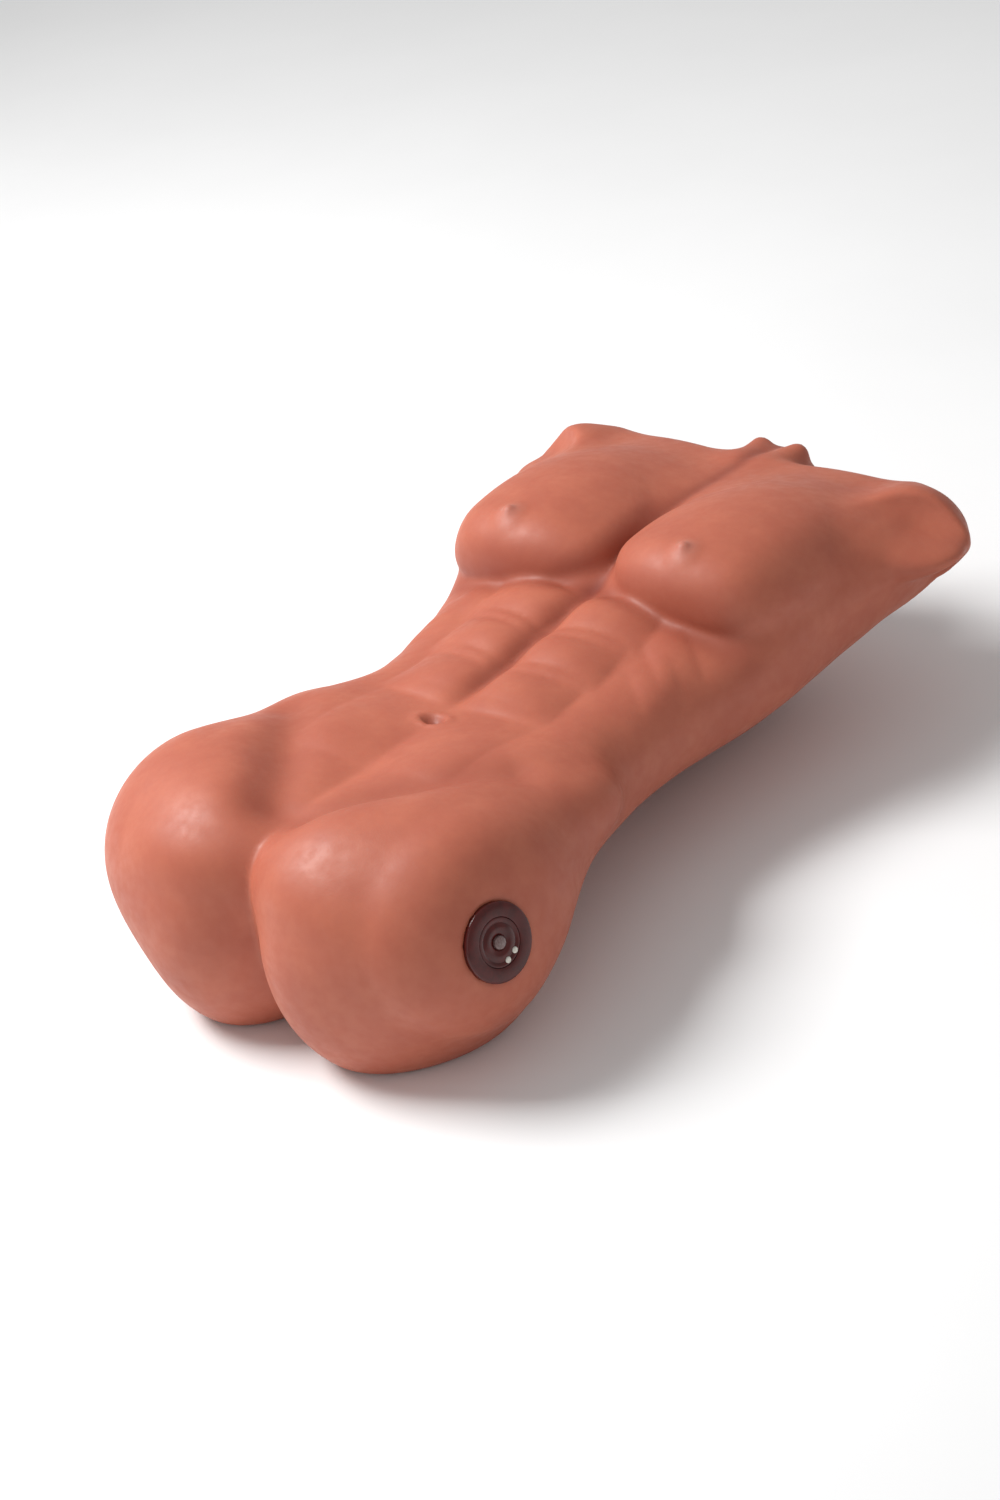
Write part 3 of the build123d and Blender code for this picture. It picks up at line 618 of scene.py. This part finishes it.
def torso(x, y, z):
    """The whole casting, before the control fitting's pocket."""
    across, x = x, np.sqrt(x * x + 4)
    hips = join(ellipsoid(x, y, z, *THIGH), ellipsoid(x, y, z, *BUTTOCK), BUTTOCK_FILLET)
    hips = join(hips, ellipsoid(x, y, z, *HIP), HIP_FILLET)
    hips = join(hips, ellipsoid(x, y, z, *CREST), CREST_FILLET)
    in_groin = ramp(z, 90, 165) * (1 - ramp(x, 90, 160))
    body = join(trunk(x, y, z), hips, FLANK_FILLET + GROIN_FILLET * in_groin)
    body = join(body, ellipsoid(across, y, z, *PUBIS), PUBIS_FILLET)
    at_rim = ramp(x, 158, 184)
    fillet = SHOULDER_FILLET - (SHOULDER_FILLET - SHOULDER_RIM_FILLET) * at_rim
    body = join(body, shoulder(x, y, z), fillet)
    body = join(body, rod(x, y, z, *COLLARBONE), COLLARBONE_FILLET)
    body = join(body, rod(across, y, z, *NECK), NECK_FILLET)
    body = join(body, rod(x, y, z, *NECK_CORD), CORD_FILLET)
    body = cut(body, y - NECK_END, NECK_EDGE)
    front = ramp(z, 100, 135)
    body = body - BELLY_SHARE * front * belly(x, y, z)
    body = join(body, chest(x, y, z), 10 + 22 * ramp(y, 400, 520) + 12 * ramp(x, 110, 150))
    from_nipple = np.hypot(x - NIPPLE[0], y - NIPPLE[1])
    body = body - front * AREOLA_RISE * np.exp(-((from_nipple / AREOLA_RADIUS) ** 4))
    body = body - front * NIPPLE_RISE * np.exp(-((from_nipple / NIPPLE_RADIUS) ** 2))
    from_navel = np.hypot(across / NAVEL_RADII[0], (y - NAVEL_Y) / NAVEL_RADII[1])
    hollow = NAVEL_DEPTH * np.exp(-(from_navel**3))
    rim = NAVEL_RIM * np.exp(-(((from_navel - 1.6) / 0.5) ** 2))
    return body + front * (hollow - rim)


# The fitting's place and the way that it faces come from the frame. Its own lengths are in millimetres
# from its seat, outwards.
FACE_MIDDLE = 3.0
BEZEL_RADIUS = 27.5
SKIN_AT_BEZEL = 1.6
SEAT_FLAT, SEAT_BLEND, SEAT_CURVE = 18.0, 88.0, 80.0
POCKET_RADIUS, POCKET_EDGE = 27.2, 1.6
FLOOR_EDGE = 6  # softness of the edge round the flat patches

face_low, face_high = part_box("control_face")
outwards = -Vector(frame["record"]["behaviour"]["joints"][0]["axis"]).normalized()
seat = (face_low + face_high) / 2 / MM - outwards * FACE_MIDDLE


def casting(x, y, z):
    """The torso with its pocket for the control fitting, and pressed flat where it lies."""
    body = torso(x, y, z)
    away = (x - seat.x, y + CROTCH_Y - seat.y, z - seat.z)
    depth = sum(a * n for a, n in zip(away, outwards))
    radius = np.sqrt(np.maximum(sum(a * a for a in away) - depth * depth, 0))
    near = (1 - ramp(radius, SEAT_FLAT, SEAT_BLEND)) * (1 - ramp(np.abs(depth), 25, 50))
    curved = depth - SKIN_AT_BEZEL + np.maximum(radius - SEAT_FLAT, 0) ** 2 / (2 * SEAT_CURVE)
    body = body + near * (curved - body)
    pocket = np.maximum(radius - POCKET_RADIUS, -depth)
    body = cut(body, -pocket, POCKET_EDGE)
    return cut(body, -z, FLOOR_EDGE)


def net(field, axes):
    """Quads over a field's zero surface: one corner in each crossed cell, one quad over each crossed edge."""
    inside = field < 0
    cells = tuple(n - 1 for n in field.shape)
    total, count = np.zeros(cells + (3,), np.float32), np.zeros(cells, np.float32)
    for axis in range(3):
        for corner in np.ndindex(2, 2, 2):
            if corner[axis]:
                continue
            other = tuple(c + (k == axis) for k, c in enumerate(corner))
            a, b = (field[tuple(slice(c, c + n) for c, n in zip(end, cells))] for end in (corner, other))
            crossed = (a < 0) != (b < 0)
            where = np.where(crossed, a / np.where(crossed, a - b, 1), 0)
            for k in range(3):
                total[..., k] += np.where(crossed, corner[k] + (where if k == axis else 0), 0)
            count += crossed
    mixed = count > 0
    index = np.full(cells, -1, np.int64)
    index[mixed] = np.arange(mixed.sum())
    first = np.array([a[0] for a in axes], np.float32)
    step = axes[0][1] - axes[0][0]
    corners = first + (np.argwhere(mixed) + total[mixed] / count[mixed][:, None]) * step
    quads = []
    for axis in range(3):
        u, v = (axis + 1) % 3, (axis + 2) % 3
        low = [slice(1, -1)] * 3
        high = [slice(1, -1)] * 3
        low[axis], high[axis] = slice(0, -1), slice(1, None)
        start, end = inside[tuple(low)], inside[tuple(high)]
        edges = np.argwhere(start != end)
        leaving = start[tuple(edges.T)]
        edges[:, u] += 1
        edges[:, v] += 1
        around = []
        for du, dv in ((1, 1), (0, 1), (0, 0), (1, 0)):
            cell = edges.copy()
            cell[:, u] -= du
            cell[:, v] -= dv
            around.append(index[tuple(cell.T)])
        quad = np.stack(around, 1)
        quad[~leaving] = quad[~leaving][:, ::-1]
        quads.append(quad)
    return corners, np.concatenate(quads)


def settle(shape, corners, quads, rounds=3):
    """Even the quads out, and bring their corners back to the surface."""
    starts = quads.ravel()
    ends = np.roll(quads, -1, axis=1).ravel()
    shares = np.bincount(starts, minlength=len(corners)) + np.bincount(ends, minlength=len(corners))
    for _ in range(rounds):
        for k in range(3):
            pull = np.bincount(starts, corners[ends, k], len(corners))
            pull += np.bincount(ends, corners[starts, k], len(corners))
            corners[:, k] = 0.4 * corners[:, k] + 0.6 * pull / shares
        slope = np.empty_like(corners)
        for k in range(3):
            shift = np.zeros(3, np.float32)
            shift[k] = 0.5
            slope[:, k] = shape(*(corners + shift).T) - shape(*(corners - shift).T)
        steepness = np.maximum((slope * slope).sum(1), 0.05)
        corners = (corners - (shape(*corners.T) / steepness)[:, None] * slope).astype(np.float32)
    return corners


def new_piece(name, corners, faces, material, body):
    """A finished piece: corners in metres, smooth shaded, one material, riding on a body."""
    mesh = bpy.data.meshes.new(name)
    mesh.from_pydata(np.asarray(corners).tolist(), [], [list(map(int, face)) for face in faces])
    mesh.update()
    mesh.shade_smooth()
    mesh.materials.append(material)
    piece = bpy.data.objects.new(name, mesh)
    bpy.context.collection.objects.link(piece)
    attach(piece, body)
    return piece


# The elastomer is matt and faintly translucent, with fine pores and a slow mottling from hand-mixed pigment.
# The creases are painted darker, which is painted shade, and the nipples get a pinker wash. Sizes are in
# millimetres, and the pores' real half a millimetre is too fine to show, so they are drawn coarser.
PORE, MOTTLE, WASH = 1.4, 34, 9

skin, tree, where = start_material("cast_thermoplastic_elastomer")
mottling = noise(tree, where, MOTTLE, detail=3)
fine = noise(tree, where, WASH, detail=5)
pores = noise(tree, where, PORE, detail=2)
# Painted shade: the crease attribute says where the creases are painted darker.
crease_shade_mask = add(tree, "ShaderNodeAttribute", attribute_name="crease").outputs["Fac"]
areolas = add(tree, "ShaderNodeAttribute", attribute_name="areola").outputs["Fac"]
plain = tones(tree, spread(tree, mottling, 0, 1), "#b05f49", "#b8674f")
flushed = add(
    tree,
    "ShaderNodeMix",
    {0: spread(tree, fine, 0, 0.2), 6: plain, 7: linear("#a95743")},
    data_type="RGBA",
).outputs[2]
# Painted shade: the creases are mixed towards a dark brown.
with_painted_shade = add(
    tree, "ShaderNodeMix", {0: crease_shade_mask, 6: flushed, 7: linear("#7f3a2b")}, data_type="RGBA"
).outputs[2]
coloured = add(
    tree, "ShaderNodeMix", {0: areolas, 6: with_painted_shade, 7: linear("#b8705e")}, data_type="RGBA"
).outputs[2]
end_material(
    tree,
    {
        "Base Color": coloured,
        "Roughness": spread(tree, fine, 0.46, 0.58),
        "IOR": 1.48,
        "Subsurface Weight": 0.12,
        "Subsurface Radius": (1.0, 0.35, 0.2),
        "Subsurface Scale": 0.006,
        "Specular IOR Level": 0.42,
        "Normal": bump(tree, pores, 0.06, bump(tree, fine, 0.15)),
    },
)

LOW, HIGH = (-222, -100, -9), (222, 636, 219)
axes = [np.arange(low, high + GRID_STEP, GRID_STEP, dtype=np.float32) for low, high in zip(LOW, HIGH)]
grid = np.meshgrid(*axes, indexing="ij")
corners, quads = net(casting(*grid), axes)
corners = settle(casting, corners, quads)

sx, sy, sz = np.abs(corners[:, 0]), corners[:, 1], corners[:, 2]
facing_up = ramp(sz, 110, 150)
# Painted shade on the front only: darker along the groin line, the belly's midline, under the chest's lower
# edge and in the navel.
crease = np.exp(-((gap_to_line(sx, sy, GROIN) / 24) ** 2)) * 0.3
crease += np.exp(-((sx / 7) ** 2)) * ramp(sy, 195, 235) * 0.6
under_chest = chest_edge(sx) - 4
crease += np.exp(-(((sy - under_chest) / 11) ** 2)) * 0.5 * (1 - ramp(sx, 120, 170))
crease += np.exp(-(np.hypot(corners[:, 0] / NAVEL_RADII[0], (sy - NAVEL_Y) / NAVEL_RADII[1]) ** 2)) * 0.8
areola = np.exp(-((np.hypot(sx - NIPPLE[0], sy - NIPPLE[1]) / (0.8 * AREOLA_RADIUS)) ** 4))

place = corners * MM
place[:, 1] += CROTCH_Y * MM
torso_casting = new_piece("torso_casting", place, quads, skin, "torso")
# The crease attribute carries the painted shade, and the areola attribute carries the nipples' pinker wash.
for name, values in (("crease", np.clip(crease, 0, 1) * facing_up), ("areola", areola * facing_up)):
    layer = torso_casting.data.attributes.new(name, "FLOAT", "POINT")
    layer.data.foreach_set("value", values.astype(np.float32))
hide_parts("elastomer_body")

# ================================================================ control bezel
# A polished ABS ring in a dark ox-blood red, with a rounded rim and a shallow step down to the face. It
# screws down on the cup and grips the casting's lip.

LATHE_STEPS = 128

towards_neck = (Vector((0, 1, 0)) - outwards * outwards.y).normalized()
fitting = Matrix((towards_neck, outwards.cross(towards_neck), outwards)).transposed().to_4x4()
fitting.translation = seat


def arc(centre, radius, start, end, steps=8):
    """Points of a profile on a round edge: distance from the axis and height, angles in degrees."""
    turns = [math.radians(start + (end - start) * i / steps) for i in range(steps + 1)]
    return [(centre[0] + radius * math.cos(t), centre[1] + radius * math.sin(t)) for t in turns]


def lathe(profile, place=(0, 0), steps=LATHE_STEPS):
    """Corners in metres and faces of a closed profile turned about an axis parallel to the fitting's."""
    corners, faces = [], []
    rings = []
    for radius, height in profile:
        first = len(corners)
        count = 1 if radius < 1e-6 else steps
        for i in range(count):
            angle = 2 * math.pi * i / steps
            spot = Vector((place[0] + radius * math.cos(angle), place[1] + radius * math.sin(angle), height))
            corners.append(fitting @ spot * MM)
        rings.append([first + i % count for i in range(steps)])
    for lower, upper in zip(rings, rings[1:] + rings[:1]):
        for i in range(steps):
            j = (i + 1) % steps
            face = [lower[i], lower[j], upper[j], upper[i]]
            face = [c for k, c in enumerate(face) if c != face[k - 1]]
            if len(face) > 2:
                faces.append(face)
    return corners, faces


oxblood, tree, where = start_material("polished_oxblood_abs")
flow = noise(tree, where, 7, detail=2)
scuffs = noise(tree, where, 0.8, detail=5)
end_material(
    tree,
    {
        "Base Color": tones(tree, spread(tree, flow, 0, 1), "#430d0a", "#51120f"),
        "Roughness": spread(tree, scuffs, 0.14, 0.24),
        "IOR": 1.5,
        "Specular IOR Level": 0.42,
        "Normal": bump(tree, scuffs, 0.006, bump(tree, flow, 0.02)),
    },
)

BEZEL_TOP, BEZEL_INNER, BEZEL_LEDGE = 4.5, 17.1, 15.2
BEZEL_PROFILE = (
    [(BEZEL_RADIUS, -0.3)]
    + arc((BEZEL_RADIUS - 2.0, BEZEL_TOP - 2.0), 2.0, 0, 80)
    + [(22.0, BEZEL_TOP + 0.25), (19.0, BEZEL_TOP + 0.15)]
    + arc((BEZEL_INNER + 0.5, BEZEL_TOP - 0.5), 0.5, 90, 180, 4)
    + [(BEZEL_INNER, 1.9), (BEZEL_LEDGE, 1.9), (BEZEL_LEDGE, -0.3)]
)
bezel = new_piece("bezel_ring", *lathe(BEZEL_PROFILE), oxblood, "torso")
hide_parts("control_bezel")

# ================================================================ control face
# A separate round plate of the same ABS, snapped into the ring. It has a dished centre round the button
# and one engraved circle, and no lettering.

FACE_RADIUS, FACE_BOTTOM, FACE_TOP = 16.9, 1.95, 4.1
BUTTON_HOLE, DISH_RADIUS, DISH_DEPTH = 4.98, 8.4, 0.7
ENGRAVED_RADIUS, ENGRAVED_DEPTH = 13.4, 0.35

FACE_PROFILE = (
    [(FACE_RADIUS, FACE_BOTTOM)]
    + arc((FACE_RADIUS - 0.4, FACE_TOP - 0.4), 0.4, 0, 90, 4)
    + [
        (ENGRAVED_RADIUS + 0.5, FACE_TOP),
        (ENGRAVED_RADIUS + 0.2, FACE_TOP - ENGRAVED_DEPTH),
        (ENGRAVED_RADIUS - 0.2, FACE_TOP - ENGRAVED_DEPTH),
        (ENGRAVED_RADIUS - 0.5, FACE_TOP),
        (DISH_RADIUS + 0.4, FACE_TOP),
        (DISH_RADIUS, FACE_TOP - 0.1),
        (6.8, FACE_TOP - DISH_DEPTH * 0.75),
        (BUTTON_HOLE, FACE_TOP - DISH_DEPTH),
        (BUTTON_HOLE, FACE_BOTTOM),
    ]
)
face_plate = new_piece("face_plate", *lathe(FACE_PROFILE), oxblood, "torso")
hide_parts("control_face")

# ================================================================ charge contacts
# Two turned brass pins with a nickel flash. Their heads stand a hair above the face, so that a magnetic
# charging lead can reach them.

CONTACT_ORBIT, CONTACT_RADIUS, CONTACT_TOP = 13.8, 2.3, 4.4
CONTACT_ANGLES = (-51, -86)

nickel, tree, where = start_material("nickel_flashed_brass")
turning = noise(tree, where, 0.25)
tarnish = noise(tree, where, 1.5)
end_material(
    tree,
    {
        "Base Color": tones(tree, spread(tree, tarnish, 0, 1), "#b7b2a8", "#d2cec6"),
        "Metallic": 1.0,
        "Roughness": spread(tree, turning, 0.2, 0.38),
        "Normal": bump(tree, turning, 0.005),
    },
)

contact_corners, contact_faces = [], []
for angle in CONTACT_ANGLES:
    spot = (CONTACT_ORBIT * math.cos(math.radians(angle)), CONTACT_ORBIT * math.sin(math.radians(angle)))
    profile = (
        [(0, 3.1), (CONTACT_RADIUS, 3.1)]
        + arc((CONTACT_RADIUS - 0.3, CONTACT_TOP - 0.3), 0.3, 0, 90, 4)
        + [(1.0, CONTACT_TOP + 0.05), (0, CONTACT_TOP + 0.06)]
    )
    more_corners, more_faces = lathe(profile, spot, 48)
    contact_faces += [[c + len(contact_corners) for c in face] for face in more_faces]
    contact_corners += more_corners
contacts = new_piece("contact_pads", contact_corners, contact_faces, nickel, "torso")
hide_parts("charge_contacts")

# ================================================================ button spring
# Cold-coiled from bright spring wire, standing on the guide plate under the button. The button's travel
# against it is one millimetre; the coil is built here at rest and rides on the torso.

SPRING_FOOT, SPRING_RISE, SPRING_RADIUS, SPRING_WIRE, SPRING_TURNS = -2.65, 2.9, 3.3, 0.3, 3

wire, tree, where = start_material("bright_spring_wire")
drawing = noise(tree, where, 0.3)
end_material(
    tree,
    {
        "Base Color": tones(tree, spread(tree, drawing, 0, 1), "#a8a8a6", "#c8c8c6"),
        "Metallic": 1.0,
        "Roughness": spread(tree, drawing, 0.18, 0.32),
        "Normal": bump(tree, drawing, 0.005),
    },
)
dress(wire, "button_spring")

coiling = bpy.data.node_groups.new("coil_a_spring", "GeometryNodeTree")
SPRING_SIZES = {
    "Radius": float(SPRING_RADIUS),
    "Wire radius": float(SPRING_WIRE),
    "Turns": float(SPRING_TURNS),
    "Rise": float(SPRING_RISE),
}
for title in SPRING_SIZES:
    coiling.interface.new_socket(title, in_out="INPUT", socket_type="NodeSocketFloat")
coiling.interface.new_socket("Material", in_out="INPUT", socket_type="NodeSocketMaterial")
coiling.interface.new_socket("Mesh", in_out="OUTPUT", socket_type="NodeSocketGeometry")
sizes = add(coiling, "NodeGroupInput").outputs
coil = add(
    coiling,
    "GeometryNodeCurveSpiral",
    {
        "Resolution": 48,
        "Rotations": sizes["Turns"],
        "Start Radius": sizes["Radius"],
        "End Radius": sizes["Radius"],
        "Height": sizes["Rise"],
    },
).outputs[0]
section = add(coiling, "GeometryNodeCurvePrimitiveCircle", {"Resolution": 12, "Radius": sizes["Wire radius"]})
swept = add(
    coiling,
    "GeometryNodeCurveToMesh",
    {"Curve": coil, "Profile Curve": section.outputs[0], "Fill Caps": True},
)
single = add(coiling, "GeometryNodeRealizeInstances", {"Geometry": swept.outputs[0]})
finished = add(
    coiling, "GeometryNodeSetMaterial", {"Geometry": single.outputs[0], "Material": sizes["Material"]}
)
add(coiling, "NodeGroupOutput", {"Mesh": finished.outputs[0]})

blank = bpy.data.objects.new("blank", bpy.data.meshes.new("blank"))
bpy.context.collection.objects.link(blank)
winding = blank.modifiers.new("winding", "NODES")
winding.node_group = coiling
for socket in coiling.interface.items_tree:
    if socket.in_out == "INPUT":
        winding[socket.identifier] = SPRING_SIZES.get(socket.name, wire)
wound = bpy.data.meshes.new_from_object(blank.evaluated_get(bpy.context.evaluated_depsgraph_get()))
bpy.data.objects.remove(blank)
wound.transform(Matrix.Scale(MM, 4) @ fitting @ Matrix.Translation((0, 0, SPRING_FOOT)))
wound.shade_smooth()
spring = bpy.data.objects.new("coil_spring", wound)
bpy.context.collection.objects.link(spring)
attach(spring, "torso")
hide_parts("button_spring")
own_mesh(spring)

# ================================================================ push button
# A smoky, slightly clear cap that lets a light behind it glow through, domed for the finger. It slides in
# by a millimetre against its spring.

BUTTON_RADIUS, BUTTON_TOP = 4.75, 5.6

cap, tree, where = start_material("smoky_moulded_acrylic")
haze = noise(tree, where, 1.6)
end_material(
    tree,
    {
        "Base Color": tones(tree, spread(tree, haze, 0, 1), "#5f4442", "#7b6461"),
        "Roughness": spread(tree, haze, 0.1, 0.2),
        "IOR": 1.49,
        "Coat Weight": 0.5,
        "Coat Roughness": 0.05,
        "Normal": bump(tree, haze, 0.01),
    },
)
BUTTON_PROFILE = (
    [(0, -5.4), (2.0, -5.4), (2.0, 0.6), (6.6, 0.6), (6.6, 1.8), (BUTTON_RADIUS, 1.8)]
    + arc((BUTTON_RADIUS - 1.3, BUTTON_TOP - 1.5), 1.3, 0, 70)
    + [(2.0, BUTTON_TOP - 0.1), (1.0, BUTTON_TOP - 0.02), (0, BUTTON_TOP)]
)
button = new_piece("button_cap", *lathe(BUTTON_PROFILE, steps=72), cap, "button")
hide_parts("push_button")

# ================================================================ floor and lights
# A plain pale sweep, one large soft light high on the mannequin's right, and a weak fill.

FLOOR_SIZE = 6.0

pale, tree, where = start_material("pale_paper")
end_material(
    tree,
    {
        "Base Color": tones(tree, spread(tree, noise(tree, where, 400), 0, 1), "#f1f1f1", "#f4f4f4"),
        "Roughness": 0.9,
    },
)
bpy.ops.mesh.primitive_plane_add(size=FLOOR_SIZE, location=(0, 0, 0))
floor = bpy.context.object
floor.name = "floor"
floor.data.materials.append(pale)


def soft_light(name, place, size, power):
    """A square soft box that looks at the middle of the body."""
    lamp = bpy.data.lights.new(name, "AREA")
    lamp.size, lamp.energy = size, power
    holder = bpy.data.objects.new(name, lamp)
    holder.location = place
    aim = Vector((0, 0, 0.1)) - Vector(place)
    holder.rotation_euler = aim.to_track_quat("-Z", "Y").to_euler()
    bpy.context.collection.objects.link(holder)


soft_light("key", (-1.3, -0.7, 2.0), 1.1, 72)
soft_light("fill", (1.4, -1.6, 1.0), 1.6, 3)

world = bpy.data.worlds.new("studio")
world.use_nodes = True
world.node_tree.nodes["Background"].inputs["Color"].default_value = linear("#ffffff")
world.node_tree.nodes["Background"].inputs["Strength"].default_value = 0.42
bpy.context.scene.world = world
bpy.context.scene.view_settings.view_transform = "Standard"
